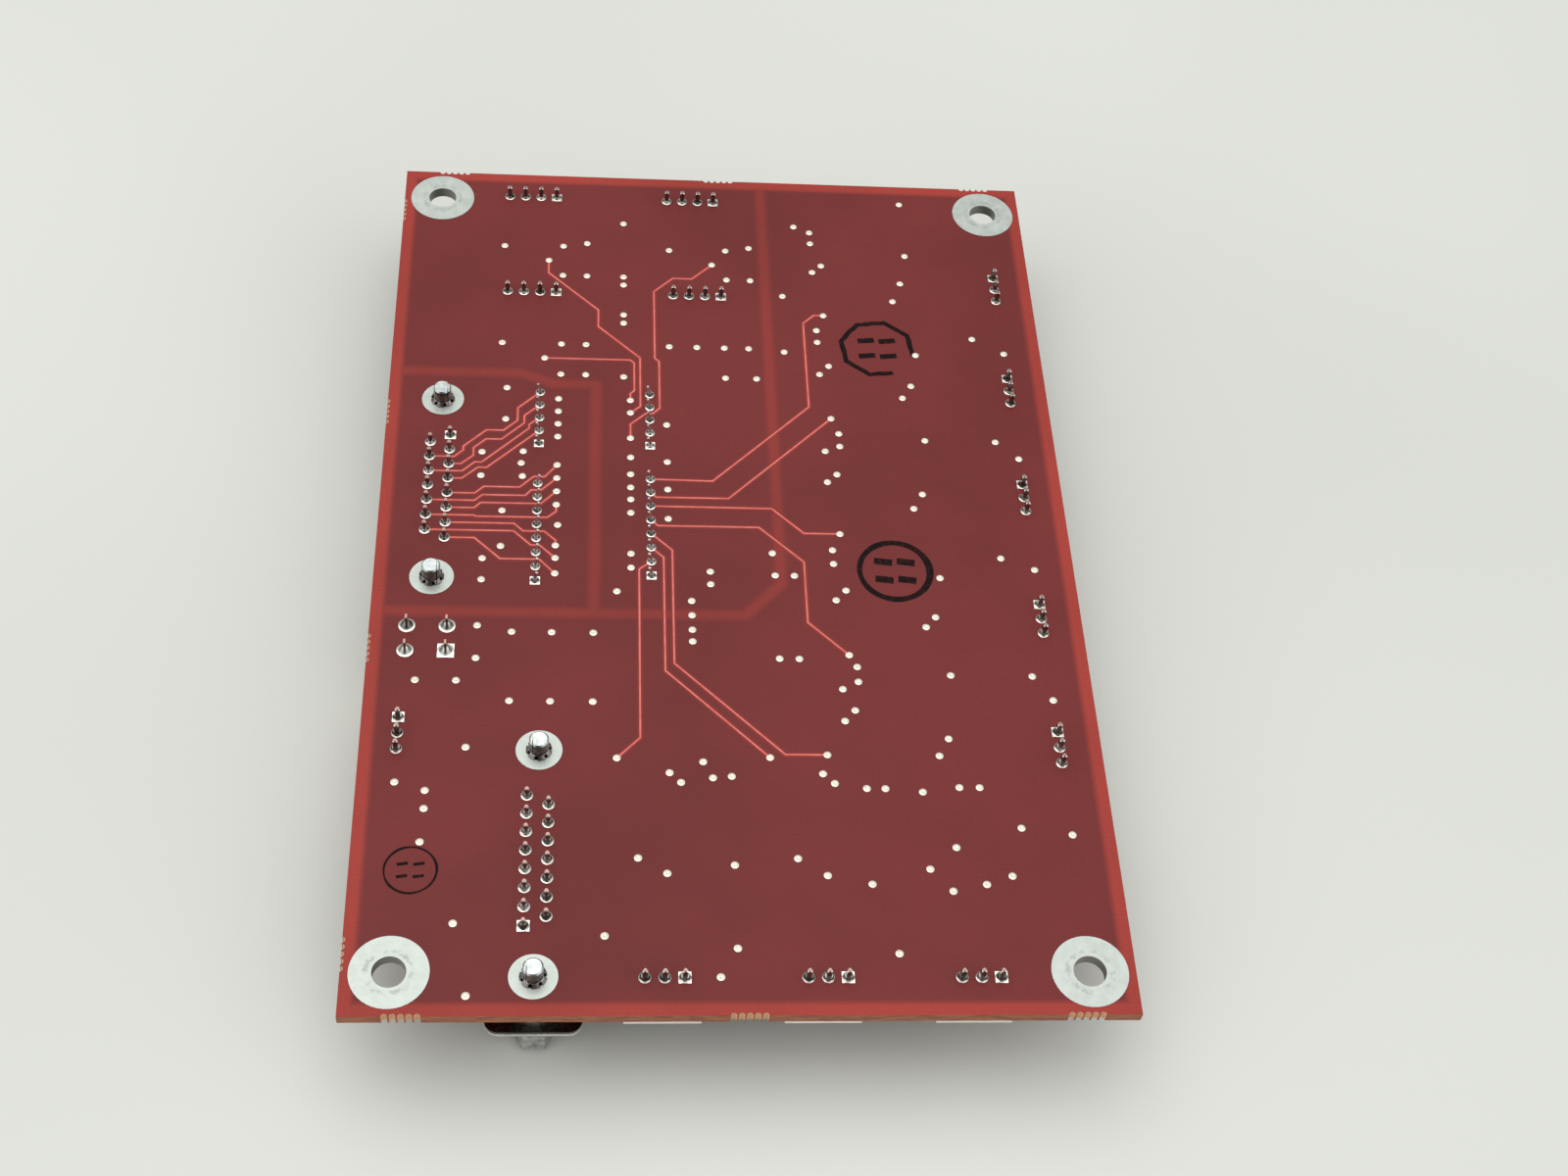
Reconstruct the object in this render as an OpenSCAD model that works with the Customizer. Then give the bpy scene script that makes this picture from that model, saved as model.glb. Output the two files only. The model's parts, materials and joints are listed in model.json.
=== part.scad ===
// Printed circuit board of an isolated input and output module, lying component side down.
// The solder side faces up. x runs to the right, y away from the viewer and z up.
// Layout places are in millimetres from the lower left corner of the board, as on a drilling plan.
// Parts under the board are drawn with their own z pointing away from the board, then mirrored.

/* [Board] */
// Width of the board
board_w = 100; // [85:1:130]
// Length of the board
board_l = 150; // [125:1:190]
// Thickness of the laminate
board_t = 1.6; // [1:0.1:2.4]
// Distance of the mounting holes from both edges
mount_inset = 6; // [5.8:0.1:6.6]
// Clear diameter of the plated mounting holes
mount_hole_d = 4.3; // [3.2:0.1:5]
// Diameter of the tinned land round a mounting hole
mount_land_d = 10; // [8:0.1:11]
// Thickness of the tinned copper lands
land_t = 0.06; // [0.03:0.01:0.12]
// Wall of the plating in the large holes
plating_t = 0.1; // [0.05:0.01:0.2]
// Diameter of the panel tab bites along the edges
bite_d = 0.8; // [0.5:0.1:1]
// Distance from one bite to the next
bite_pitch = 1; // [1:0.1:1.4]
// Bites at each panel tab
bite_count = 5; // [3:1:7]

/* [Copper] */
// Diameter of the land of a via
via_land_d = 1.05; // [0.9:0.05:1.3]
// Drill of a via
via_drill_d = 0.6; // [0.4:0.05:0.8]
// Height of the solder that fills a via, above the board
via_crown = 0.14; // [0.1:0.01:0.25]
// Diameter of the dimple in a filled via
via_dimple_d = 0.5; // [0.3:0.05:0.7]
// Width of a signal trace
trace_w = 0.25; // [0.2:0.05:0.5]
// Height of a signal trace under its lacquer
trace_t = 0.05; // [0.03:0.01:0.1]
// Diameter of the land of a connector pin
pin_land_d = 1.6; // [1.4:0.05:1.8]
// Diameter of the land of a resistor network lead
network_land_d = 1.4; // [1.2:0.05:1.5]
// Diameter of the land of a power pin
power_land_d = 2.3; // [2:0.05:2.6]
// Room for solder round a pin in its drilled hole
drill_room = 0.1; // [0.08:0.01:0.15]
// Height of a solder fillet above its land
fillet_h = 0.5; // [0.35:0.05:0.7]

/* [Multi-way sockets] */
// Distance from one contact to the next in a row
contact_pitch = 2.74; // [2.7:0.01:2.78]
// Distance between the two contact rows
row_gap = 2.84; // [2.7:0.02:3]
// Contacts in the longer row
contact_count = 8; // [5:1:8]
// Distance from the outer contacts to the end of the shell's opening
contact_margin = 2.71; // [2.4:0.01:3]
// Distance from the contact rows to the side of the shell's opening
contact_side = 2.53; // [2.3:0.01:2.8]
// Distance from the end of the shell's opening to the middle of a board lock
lock_margin = 4.35; // [3.8:0.05:5]
// Distance from the middle of a board lock to the end of the flange
flange_end = 2.95; // [2.5:0.05:3.5]
// Width of the flange beside the shell's opening
flange_side = 2.3; // [2:0.05:2.6]
// Distance from the lower socket's flange to the board's edge
socket_margin = 2.4; // [1.5:0.1:4]
// Sheet thickness of the shells
sheet_t = 0.5; // [0.4:0.05:0.7]
// Height of the flange's board side above the board
flange_h = 7.9; // [6:0.1:8.5]
// Length of the front shell beyond the flange
nose_h = 5.8; // [5:0.1:6.2]
// Diameter of a contact's solder tail
tail_d = 0.66; // [0.6:0.02:0.8]
// Length of a contact's tail above the solder side
tail_out = 1.9; // [1.2:0.1:2.2]
// Diameter of a contact's socket
socket_d = 1.7; // [1.5:0.05:1.9]
// Bore of a contact's socket
socket_bore_d = 1.02; // [0.9:0.02:1.2]
// Diameter of the post between flange and board
post_d = 4.2; // [3.8:0.1:4.6]
// Diameter of the hole for a board lock
lock_hole_d = 3.2; // [3:0.1:3.4]
// Diameter of the tinned land round a board lock
lock_land_d = 6.2; // [5.8:0.1:6.6]
// Height of the lock's rolled tip above the solder side
fork_h = 2.8; // [2.2:0.1:3.4]
// Diameter of the lock's rolled tip
fork_d = 2.6; // [2.4:0.1:2.8]
// Width of the seam in the lock's tip
seam_w = 0.12; // [0.1:0.02:0.3]
// Width across the flats of the jackscrews
hex_w = 4.75; // [4.5:0.05:5.2]
// Length of a jackscrew's hexagon
hex_h = 5.2; // [4:0.1:5.6]

/* [Wire headers] */
// Distance from one pin to the next
header_pitch = 2.5; // [2.4:0.02:2.54]
// Housing length beyond the outer pins, both ends together
header_ends = 4.9; // [4.5:0.1:5.2]
// Distance from the pins to the lower front
header_front = 2.35; // [2.2:0.05:2.6]
// Distance from the pins to the higher back
header_back = 3.4; // [3:0.05:3.6]
// Height of the back wall
header_back_h = 7; // [6:0.1:8]
// Height of the front wall
header_front_h = 6.4; // [5:0.1:6.8]
// Thickness of the housing's floor
header_floor = 2.2; // [1.6:0.1:2.6]
// Thickness of the housing's walls
header_wall = 0.8; // [0.6:0.05:1]
// Width of the square pins
header_pin_w = 0.64; // [0.5:0.02:0.7]
// Length of a pin above the solder side
header_pin_out = 2.2; // [1.6:0.1:2.6]
// Distance of the header pins from the board's edge
header_inset = 5.2; // [5:0.1:6]

/* [Power header] */
// Distance between neighbouring pins of a row
power_pitch = 4.2; // [4.1:0.05:4.3]
// Distance between the two rows
power_rows = 5.5; // [5.3:0.05:5.6]
// Thickness of the housing's walls
power_wall = 0.6; // [0.4:0.05:0.8]
// Height of the housing
power_h = 12.8; // [11:0.1:14]
// Side of the cavity round each pin
power_cell = 3.4; // [3:0.1:3.6]
// Width of the square power pins
power_pin_w = 1.05; // [0.9:0.05:1.1]
// Width of a power pin's tail through the board
power_tail_w = 0.3; // [0.25:0.05:0.6]
// Depth of a power pin's tail through the board
power_tail_l = 0.7; // [0.5:0.05:1]

/* [Surface parts] */
// Length of a resistor network per lead
network_pitch = 2.54; // [2.5:0.01:2.56]
// Thickness of a resistor network
network_w = 2.5; // [2:0.1:2.6]
// Height of a resistor network's body
network_h = 5; // [4:0.1:6.5]
// Diameter of a resistor network's leads
network_lead_d = 0.5; // [0.4:0.02:0.6]
// Width of a surface chip's leads
lead_w = 0.42; // [0.3:0.02:0.5]
// Thickness of a surface chip's leads
lead_t = 0.2; // [0.15:0.01:0.25]

/* [Hidden] */

$fn = 48;

// Heights: the board stands on the mouths of its tallest connectors
fit = 0.02;
under_z = max(power_h, flange_h + 2 * sheet_t + nose_h);
top_z = under_z + board_t;

// Layout: places are drawn on a plan of 100 by 150 and spread with the board
function plan_x(x) = x * board_w / 100;
function plan_y(y) = y * board_l / 150;
function spot(x, y) = [plan_x(x), plan_y(y)];
function spread(places) = [for (p = places) spot(p[0], p[1])];
function from_right(d) = board_w - d;
function from_top(d) = board_l - d;
function row_offset(i, count, pitch) = (i - (count - 1) / 2) * pitch;
function header_length(count) = (count - 1) * header_pitch + header_ends;

// Sizes that follow from the pins and contacts they hold
pin_drill_d = header_pin_w * sqrt(2) + 2 * drill_room;
network_drill_d = network_lead_d + 4 * drill_room;
power_tail_d = norm([power_tail_w, power_tail_l]);
power_drill_d = power_tail_d + 4 * drill_room;
nose_l = (contact_count - 1) * contact_pitch + 2 * contact_margin;
nose_w = row_gap + 2 * contact_side;
lock_pitch = nose_l + 2 * lock_margin;
flange_l = lock_pitch + 2 * flange_end;
flange_w = nose_w + 2 * flange_side;
power_w = power_rows + power_cell + 2 * power_wall;
power_l = power_pitch + power_cell + 2 * power_wall;

mount_places = [
    for (x = [mount_inset, from_right(mount_inset)])
        for (y = [mount_inset, from_top(mount_inset)]) [x, y]
];

// Socket places are the middle of the contact field, with the long row on side -1 or +1
left_socket = spot(8.1, 84);
left_long_side = 1;
lower_socket = [plan_x(23.7), flange_l / 2 + socket_margin];
lower_long_side = -1;

// Input headers have four pins, the others three
input_pins = 4;
output_pins = 3;
input_places = [
    [plan_x(20.5), from_top(header_inset)], [plan_x(45.75), from_top(header_inset)],
    spot(20.75, 123.5), spot(46.5, 123.5)
];
edge_outputs_y = [for (y = [126.75, 105, 83.75, 61.5, 39.75]) plan_y(y)];
edge_row_shift = 0.6;
edge_outputs_x = from_right(header_inset + edge_row_shift);
front_outputs_x = [for (x = [40, 60.5, 80]) plan_x(x)];

// The power header and the sensor header follow the left socket along the edge
power_gap = 3.25;
sensor_gap = 6.2;
sensor_row_shift = 0.3;
power_place = [plan_x(7.9), left_socket[1] - flange_l / 2 - power_gap - power_l / 2];
sensor_place = [
    header_inset - sensor_row_shift,
    power_place[1] - power_l / 2 - sensor_gap - header_length(output_pins) / 2
];

// Resistor networks: place of the middle lead and number of leads
upper_left = spot(22.5, 97.4);
lower_left = spot(22.5, 75.8);
upper_right = spot(38.9, 97.4);
lower_right = spot(38.9, 77);
upper_leads = 5;
lower_leads = 8;
// Sideways lean of the bent lead ends, to the right positive
lead_lean = [-14, 10, -14, -14];
networks = [
    [upper_left, upper_leads, lead_lean[0]], [lower_left, lower_leads, lead_lean[1]],
    [upper_right, upper_leads, lead_lean[2]], [lower_right, lower_leads, lead_lean[3]]
];

// Chips on the component side
isolator_x = plan_x(30.75);
isolator_y = [for (y = [97.5, 85, 72.5]) plan_y(y)];
via_left_x = 25.25;
via_right_x = 36;
input_chip_offset = [0, plan_y(-7.75)];
edge_driver_x = plan_x(71.5);
edge_driver_drop = 1;
front_driver_offset = [1.5, plan_y(23.25)];
edge_transistor_x = plan_x(84);
front_transistor_up = 7.3;

// Bulk capacitors stand beyond the lower socket's flange, each between two vias
capacitor_x = [19.5, 25, 30.75];
capacitor_y = lower_socket[1] + flange_l / 2 + plan_y(10.65);
capacitor_via_reach = plan_y(5.75);

function column(x, places) = [for (y = places) [x, y]];
function level(y, places) = [for (x = places) [x, y]];

// Vias, on the plan
lower_via_places = concat(
    [for (d = [[0.1, -7.7], [4.1, -8.95], [4.1, -11.7]]) sensor_place + d],
    [for (d = [[-1.15, -7], [4.35, -7], [6.85, -3.25], [6.85, 2.25]]) power_place + d],
    spread([[8.75, 24.5], [13.5, 12.75], [15.5, 2.75], [14, 39]]),
    spread([[32.5, 11], [34, 37.5], [45.5, 37], [54.5, 37.75], [41, 35.25], [42.5, 33.75], [46.75, 34.5]]),
    spread([[49.25, 34.75], [36.75, 22.25], [40.5, 20], [49.25, 21.25], [49.25, 9.25], [47, 5.25]]),
    spread([[57.5, 22.25], [61.25, 19.75], [61.5, 35.25], [63, 33.75], [62.25, 38.25]]),
    [for (x = capacitor_x, s = [-1, 1]) [plan_x(x), capacitor_y + s * capacitor_via_reach]],
    spread(column(15, [67, 70.75]))
);
middle_via_places = spread(concat(
    column(17.5, [73, 79.5, 97, 103.25]),
    column(14.25, [86, 90.5]),
    [[20.25, 90.75], [20, 88.5], [20.25, 86], [34, 65.25], [25.5, 77]],
    column(via_left_x, [68.25, 71, 73.25, 80.75, 83.25, 85.75, 88.25]),
    column(via_left_x, [93.75, 96.25, 98.75, 101.25]),
    column(via_right_x, [69.5, 72, 79.5, 82, 84.25, 86.75, 90]),
    column(via_right_x, [93.75, 98.75, 101.25]),
    column(41.4, [78.5, 84, 89.25, 96.5]),
    column(44.5, [56.75, 58.75, 61.25, 63.75]),
    column(47.25, [66.75, 69]),
    [[56.25, 72.5], [56.5, 68.5], [59.25, 68.5], [56.5, 54], [59.25, 54]]
));
right_via_places = spread(concat(
    column(65, [43.75, 49, 64.25, 70.75, 73.25, 86, 92, 107.5, 114.25, 116.75, 129.5, 136, 138.5]),
    column(66.5, [45.5, 66, 87.5, 109.25, 131]),
    column(66.25, [54.75, 76.25, 98.5, 120]),
    column(67.25, [33, 50.25, 52.75, 93, 95.5]),
    [[62.5, 139.75], [60, 124], [59.75, 112], [67, 18.5], [69.75, 8.5], [69.75, 33], [74.75, 20.75]],
    [[74.75, 32.5], [77.5, 17.5], [82, 18.5], [85.5, 19.75], [87.5, 27], [78.5, 24]],
    level(33.25, [79.75, 82.5]),
    column(79, [41, 61.5, 84, 105.5, 127.5]),
    column(77.5, [38.25, 59.75, 81.25, 103, 123.5]),
    column(80.25, [51.5, 68.5, 94.5, 112, 133.75, 145.75]),
    [[91.75, 51.5], [91, 94.5], [89.5, 72.25], [89.5, 115.75]],
    column(94.25, [26, 47.5, 70.25, 91.25, 112.75])
));
top_via_places = spread(concat(
    level(133.5, [16.25, 42.25]),
    level(133.75, [25.5, 51.25]),
    level(134.5, [29.25, 55]),
    level(130.5, [23.25, 49]),
    level(127.25, [25.5, 29.25, 51.25, 55, 35]),
    column(35, [139.25, 125.5, 119, 117.25, 106]),
    level(112.5, [16.5, 25.5, 29.25, 42, 46.25, 50.5, 54.25]),
    [[23, 109.5]],
    level(106.25, [25.5, 29.25, 50.5, 55.25])
));

// Contact and lead places on the board
function contact_in(socket, side, long, i) = [
    socket[0] + side * (long ? 1 : -1) * row_gap / 2,
    socket[1] + row_offset(i, long ? contact_count : contact_count - 1, contact_pitch)
];
function contact_places(socket, side) = concat(
    [for (i = [0:contact_count - 1]) contact_in(socket, side, true, i)],
    [for (i = [0:contact_count - 2]) contact_in(socket, side, false, i)]
);
function lock_places(socket) = [for (s = [-1, 1]) socket + [0, s * lock_pitch / 2]];
function lead_in(network, i) = network[0] + [0, row_offset(i, network[1], network_pitch)];
function header_places(place, count, turn) = [
    for (i = [0:count - 1])
        let (d = row_offset(i, count, header_pitch)) place + [d * cos(turn), d * sin(turn)]
];
power_places = [
    for (sx = [-1, 1])
        for (sy = [-1, 1]) power_place + [sx * power_rows / 2, sy * power_pitch / 2]
];
all_locks = concat(lock_places(left_socket), lock_places(lower_socket));
all_contacts = concat(
    contact_places(left_socket, left_long_side), contact_places(lower_socket, lower_long_side)
);

// A header's turn puts its low front towards the nearest edge
front_turn = 0;
edge_turn = 90;
top_turn = 180;
sensor_turn = 270;
front_outputs = [for (x = front_outputs_x) [x, header_inset]];
edge_outputs = [for (y = edge_outputs_y) [edge_outputs_x, y]];
output_headers = concat(
    [for (p = edge_outputs) [p, edge_turn]], [for (p = front_outputs) [p, front_turn]]
);
input_pin_places = [for (p = input_places) each header_places(p, input_pins, top_turn)];
output_pin_places = [for (h = output_headers) each header_places(h[0], output_pins, h[1])];
sensor_pin_places = header_places(sensor_place, output_pins, sensor_turn);
header_pin_places = concat(input_pin_places, output_pin_places, sensor_pin_places);

// First pins have square lands: a header's right or far pin, a socket's outer pin, a network's near lead
header_square_places = concat(
    [for (p = input_places) header_places(p, input_pins, top_turn)[0]],
    [for (h = output_headers) header_places(h[0], output_pins, h[1])[output_pins - 1]],
    [sensor_pin_places[0]]
);
socket_square_places = [
    contact_in(left_socket, left_long_side, true, contact_count - 1),
    contact_in(lower_socket, lower_long_side, true, 0)
];

// Signal traces on the solder side, each with its points and the lands at its two ends
function long_pin(i) = contact_in(left_socket, left_long_side, true, i);
function short_pin(i) = contact_in(left_socket, left_long_side, false, i);
function beside(p, x) = [plan_x(x), p[1]];
// A point between two leads of a network, on its way past it
function past(n, i, x) = [plan_x(x), lead_in(networks[n], i)[1] + network_pitch / 2];
function via_left(y) = spot(via_left_x, y);
function via_right(y) = spot(via_right_x, y);
last_long = contact_count - 1;
last_short = contact_count - 2;
socket_traces = [
    [short_pin(last_short - 1), beside(short_pin(last_short - 1), 10.25), spot(11.5, 90.75),
        spot(11.5, 91.5), spot(14.75, 94.75), spot(17.25, 94.75), spot(19.25, 96.75), spot(19.25, 99.25),
        lead_in(networks[0], 4)],
    [long_pin(last_long - 2), beside(long_pin(last_long - 2), 11.25), spot(13, 89.75), spot(13, 91.25),
        spot(14.75, 93), spot(17, 93), spot(20.25, 96.25), spot(20.25, 97.75), lead_in(networks[0], 3)],
    [short_pin(last_short - 2), beside(short_pin(last_short - 2), 11.5), spot(13.25, 88.5),
        spot(14.25, 88.5), spot(21, 95.25), spot(21, 96), lead_in(networks[0], 2)],
    [long_pin(last_long - 3), beside(long_pin(last_long - 3), 11.5), spot(13.75, 87.5), spot(15, 87.5),
        lead_in(networks[0], 1)]
];
isolator_traces = [
    [long_pin(last_long - 4), beside(long_pin(last_long - 4), 13.5), spot(14.75, 83.9), spot(19.9, 83.9),
        past(1, 7, 21.9), past(1, 7, 23.5), via_left(88.25)],
    [short_pin(last_short - 4), beside(short_pin(last_short - 4), 13.5), spot(14.6, 82.35),
        spot(20.75, 82.35), past(1, 6, 21.6), past(1, 6, 23), via_left(85.75)],
    [long_pin(last_long - 5), beside(long_pin(last_long - 5), 13.5), past(1, 5, 14.4), past(1, 5, 23),
        via_left(83.25)],
    [short_pin(last_short - 5), beside(short_pin(last_short - 5), 13.5), past(1, 4, 13.75),
        past(1, 4, 24), via_left(79.5), via_left(80.75)],
    [long_pin(last_long - 6), beside(long_pin(last_long - 6), 19.25), past(1, 3, 20.6), past(1, 3, 23.6),
        via_left(74.2), via_left(73.25)],
    [short_pin(last_short - 6), beside(short_pin(last_short - 6), 19.25), past(1, 2, 21.75),
        past(1, 2, 23), via_left(71)],
    [long_pin(last_long - 7), beside(long_pin(last_long - 7), 13.75), past(1, 1, 17.5), past(1, 1, 23),
        via_left(68.25)]
];
output_traces = [
    [lead_in(networks[3], 1), spot(37.15, 69.25), spot(37.15, 40.75), spot(34, 37.5)],
    [lead_in(networks[3], 2), spot(40.65, 71.4), spot(40.65, 51.75), spot(54.5, 37.75)],
    [lead_in(networks[3], 3), spot(41.9, 72.75), spot(41.9, 53), spot(56.6, 38.25), spot(62.25, 38.25)],
    [lead_in(networks[3], 4), spot(39.9, 77.2), spot(54.5, 77.2), spot(60.75, 71), spot(60.75, 60.3),
        spot(66.25, 54.75)],
    [lead_in(networks[3], 5), spot(56.5, 80.75), spot(61, 76.25), spot(66.25, 76.25)],
    [lead_in(networks[3], 6), spot(39.7, 82.5), spot(50.25, 82.5), spot(66.25, 98.5)],
    [lead_in(networks[3], 7), spot(48, 85.75), spot(63, 100.75), spot(63, 118.25), spot(64.75, 120),
        spot(66.25, 120)]
];
input_traces = [
    [spot(23, 109.5), spot(36, 109.5), spot(36.6, 108.9), spot(36.6, 103.25), via_right(102.6),
        via_right(101.25)],
    [spot(23.25, 130.5), spot(23.25, 127.75), spot(31.1, 119.9), spot(31.1, 116.4), spot(37.5, 110),
        spot(37.5, 100.1), via_right(98.75)],
    [spot(49, 130.5), spot(45.75, 127.25), spot(42.75, 127.25), spot(39.75, 124.25), spot(39.75, 110),
        spot(40.4, 109.35), spot(40.4, 99.8), past(2, 2, 39.3), past(2, 2, 38.3), via_right(96.5),
        via_right(93.75)]
];
trace_groups = [
    [socket_traces, pin_land_d, network_land_d], [isolator_traces, pin_land_d, via_land_d],
    [output_traces, network_land_d, via_land_d], [input_traces, via_land_d, via_land_d]
];

// Panel tabs: middle of each group of bites
edge_tabs_x = [for (x = [7.75, 50.5, 93]) plan_x(x)];
left_tabs_y = [for (y = [8.5, 55, 98, 141]) plan_y(y)];

// Colours
laminate_red = [0.48, 0.20, 0.20];
trace_red = [0.82, 0.40, 0.36];
tin = [0.80, 0.83, 0.80];
steel = [0.72, 0.72, 0.70];
nylon_white = [0.93, 0.92, 0.88];
moulding_black = [0.12, 0.12, 0.13];
pin_gold = [0.82, 0.74, 0.50];
ceramic_white = [0.88, 0.87, 0.84];
capacitor_tan = [0.85, 0.62, 0.20];

// Places children on the solder side, from the lower left corner
module above(p) {
    translate([p[0] - board_w / 2, p[1] - board_l / 2, top_z]) children();
}

// Places children under the board, with their z away from it
module below(p, turn = 0) {
    translate([p[0] - board_w / 2, p[1] - board_l / 2, under_z])
        mirror([0, 0, 1])
            rotate(turn) children();
}

module on_plan(p) {
    translate([p[0] - board_w / 2, p[1] - board_l / 2]) children();
}

module rounded_rect(l, w, r) {
    hull() {
        for (sx = [-1, 1], sy = [-1, 1])
            translate([sx * (l / 2 - r), sy * (w / 2 - r)]) circle(r, $fn = 24);
    }
}

// Board

module bites(along_x) {
    for (i = [0:bite_count - 1]) {
        d = row_offset(i, bite_count, bite_pitch);
        translate(along_x ? [d, 0] : [0, d]) circle(d = bite_d);
    }
}

module panel_bites() {
    for (x = edge_tabs_x, y = [0, board_l])
        on_plan([x, y]) bites(true);
    for (y = left_tabs_y) on_plan([0, y]) bites(false);
}

module drill(places, d) {
    for (p = places) on_plan(p) circle(d = d);
}

module board() {
    color(laminate_red) translate([0, 0, under_z]) linear_extrude(board_t) difference() {
        square([board_w, board_l], center = true);
        panel_bites();
        drill(mount_places, mount_hole_d + 2 * plating_t);
        drill(all_locks, lock_hole_d + 2 * plating_t);
        drill(concat(lower_via_places, middle_via_places), via_drill_d);
        drill(concat(right_via_places, top_via_places), via_drill_d);
        drill(concat(all_contacts, header_pin_places), pin_drill_d);
        drill(power_places, power_drill_d);
        for (n = networks) drill([for (i = [0:n[1] - 1]) lead_in(n, i)], network_drill_d);
    }
}

// A plated hole: lands on both faces joined by the wall in the hole
module plated_hole(hole_d, land_d) {
    rotate_extrude() polygon([
        [hole_d / 2, land_t], [land_d / 2, land_t], [land_d / 2, 0], [hole_d / 2 + plating_t, 0],
        [hole_d / 2 + plating_t, -board_t], [land_d / 2, -board_t],
        [land_d / 2, -board_t - land_t], [hole_d / 2, -board_t - land_t]
    ]);
}

module mounting_lands() {
    color(tin) for (p = mount_places) above(p) plated_hole(mount_hole_d, mount_land_d);
}

module lock_lands() {
    color(tin) for (p = all_locks) above(p) plated_hole(lock_hole_d, lock_land_d);
}

// A via filled with solder, with a crown and a dimple on the solder side
module via() {
    rotate_extrude() polygon([
        [0, via_crown - land_t], [via_dimple_d / 2, via_crown], [via_land_d / 2, land_t],
        [via_land_d / 2, 0], [via_drill_d / 2, 0], [via_drill_d / 2, -board_t],
        [via_land_d / 2, -board_t], [via_land_d / 2, -board_t - land_t], [0, -board_t - land_t]
    ]);
}

module vias(places) {
    color(tin) for (p = places) above(p) via();
}

// Traces: each is one strip with mitred corners
function unit(v) = v / norm(v);
function across(a, b) = let (d = unit(b - a)) [-d[1], d[0]];
function mitre(p, i) =
    i == 0 ? across(p[0], p[1]) :
    i == len(p) - 1 ? across(p[i - 1], p[i]) :
    let (n = across(p[i - 1], p[i]), m = unit(n + across(p[i], p[i + 1]))) m / (m * n);
function strip(p, w) = concat(
    [for (i = [0:len(p) - 1]) p[i] + mitre(p, i) * w / 2],
    [for (i = [len(p) - 1:-1:0]) p[i] - mitre(p, i) * w / 2]
);

module trace(points, start_d, end_d) {
    linear_extrude(trace_t) difference() {
        polygon(strip(points, trace_w));
        translate(points[0]) circle(d = start_d);
        translate(points[len(points) - 1]) circle(d = end_d);
    }
}

module signal_traces() {
    color(trace_red) above([0, 0])
        for (g = trace_groups, t = g[0]) trace(t, g[1], g[2]);
}

// Solder: a land on each face, the filled hole and a fillet that climbs the pin in a hollow curve
fillet_runs = 3;

module solder_body(drill_d, land_d, top_d) {
    run = (land_d - top_d) / 2;
    rise = fillet_h - land_t;
    climb = [
        for (i = [0:fillet_runs])
            [top_d / 2 + run * i / fillet_runs, land_t + rise * pow(1 - i / fillet_runs, 2)]
    ];
    rotate_extrude() polygon(concat([[0, fillet_h]], climb, [
        [land_d / 2, 0], [drill_d / 2, 0], [drill_d / 2, -board_t],
        [land_d / 2, -board_t], [land_d / 2, -board_t - land_t], [0, -board_t - land_t]
    ]));
}

module square_land(land_d) {
    linear_extrude(land_t) square(land_d, center = true);
    translate([0, 0, -board_t - land_t]) linear_extrude(land_t) square(land_d, center = true);
}

module solder_joint(drill_d, land_d, top_d, squared) {
    difference() {
        union() {
            solder_body(drill_d, land_d, top_d);
            if (squared) square_land(land_d);
        }
        translate([0, 0, -board_t - 2 * land_t]) linear_extrude(board_t + fillet_h + 3 * land_t) children();
    }
}

function is_in(p, places) = len([for (q = places) if (norm(p - q) < fit) 1]) > 0;
solder_wall = 0.06;

module socket_solder() {
    color(tin) for (p = all_contacts) above(p)
        solder_joint(pin_drill_d, pin_land_d, tail_d + 2 * solder_wall, is_in(p, socket_square_places))
            circle(d = tail_d);
}

module header_solder() {
    color(tin) for (p = header_pin_places) above(p)
        solder_joint(pin_drill_d, pin_land_d, header_pin_w * sqrt(2) + solder_wall,
            is_in(p, header_square_places))
            square(header_pin_w, center = true);
}

module power_solder() {
    color(tin) for (p = power_places) above(p)
        solder_joint(power_drill_d, power_land_d, power_tail_d + solder_wall, is_in(p, [power_places[2]]))
            square([power_tail_w, power_tail_l], center = true);
}

module network_solder() {
    color(tin) for (n = networks, i = [0:n[1] - 1]) above(lead_in(n, i))
        solder_joint(network_drill_d, network_land_d, network_lead_d + 2 * solder_wall, i == 0)
            circle(d = network_lead_d);
}

// Multi-way sockets
// Drawn with the long contact row on +x and the contacts along y

nose_slope = 10;
nose_corner = 2;
rear_step = 0.45;
rear_gap = 2;
insulator_recess = 0.3;
socket_depth = 5.5;
tail_bevel = 0.1;
flange_corner = 1.8;
flange_top = flange_h + 2 * sheet_t;
nose_top = flange_top + nose_h;

// Outline of the polarised opening, grown by g all round
module nose_outline(g) {
    shrink = nose_w / 2 * tan(nose_slope);
    hull() {
        for (sx = [-1, 1], sy = [-1, 1])
            translate([sx * (nose_w / 2 - nose_corner), sy * (nose_l / 2 - shrink - nose_corner + sx * shrink)])
                circle(nose_corner + g, $fn = 24);
    }
}

module flange_outline() {
    rounded_rect(flange_w, flange_l, flange_corner);
}

module lock_bores(d) {
    for (s = [-1, 1]) translate([0, s * lock_pitch / 2]) circle(d = d);
}

stud_d = 2.8;

module front_shell() {
    color(steel) {
        translate([0, 0, flange_h + sheet_t]) linear_extrude(sheet_t) difference() {
            flange_outline();
            nose_outline(0);
            lock_bores(stud_d + 2 * fit);
        }
        translate([0, 0, flange_top]) linear_extrude(nose_h) difference() {
            nose_outline(sheet_t);
            nose_outline(0);
        }
    }
}

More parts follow.
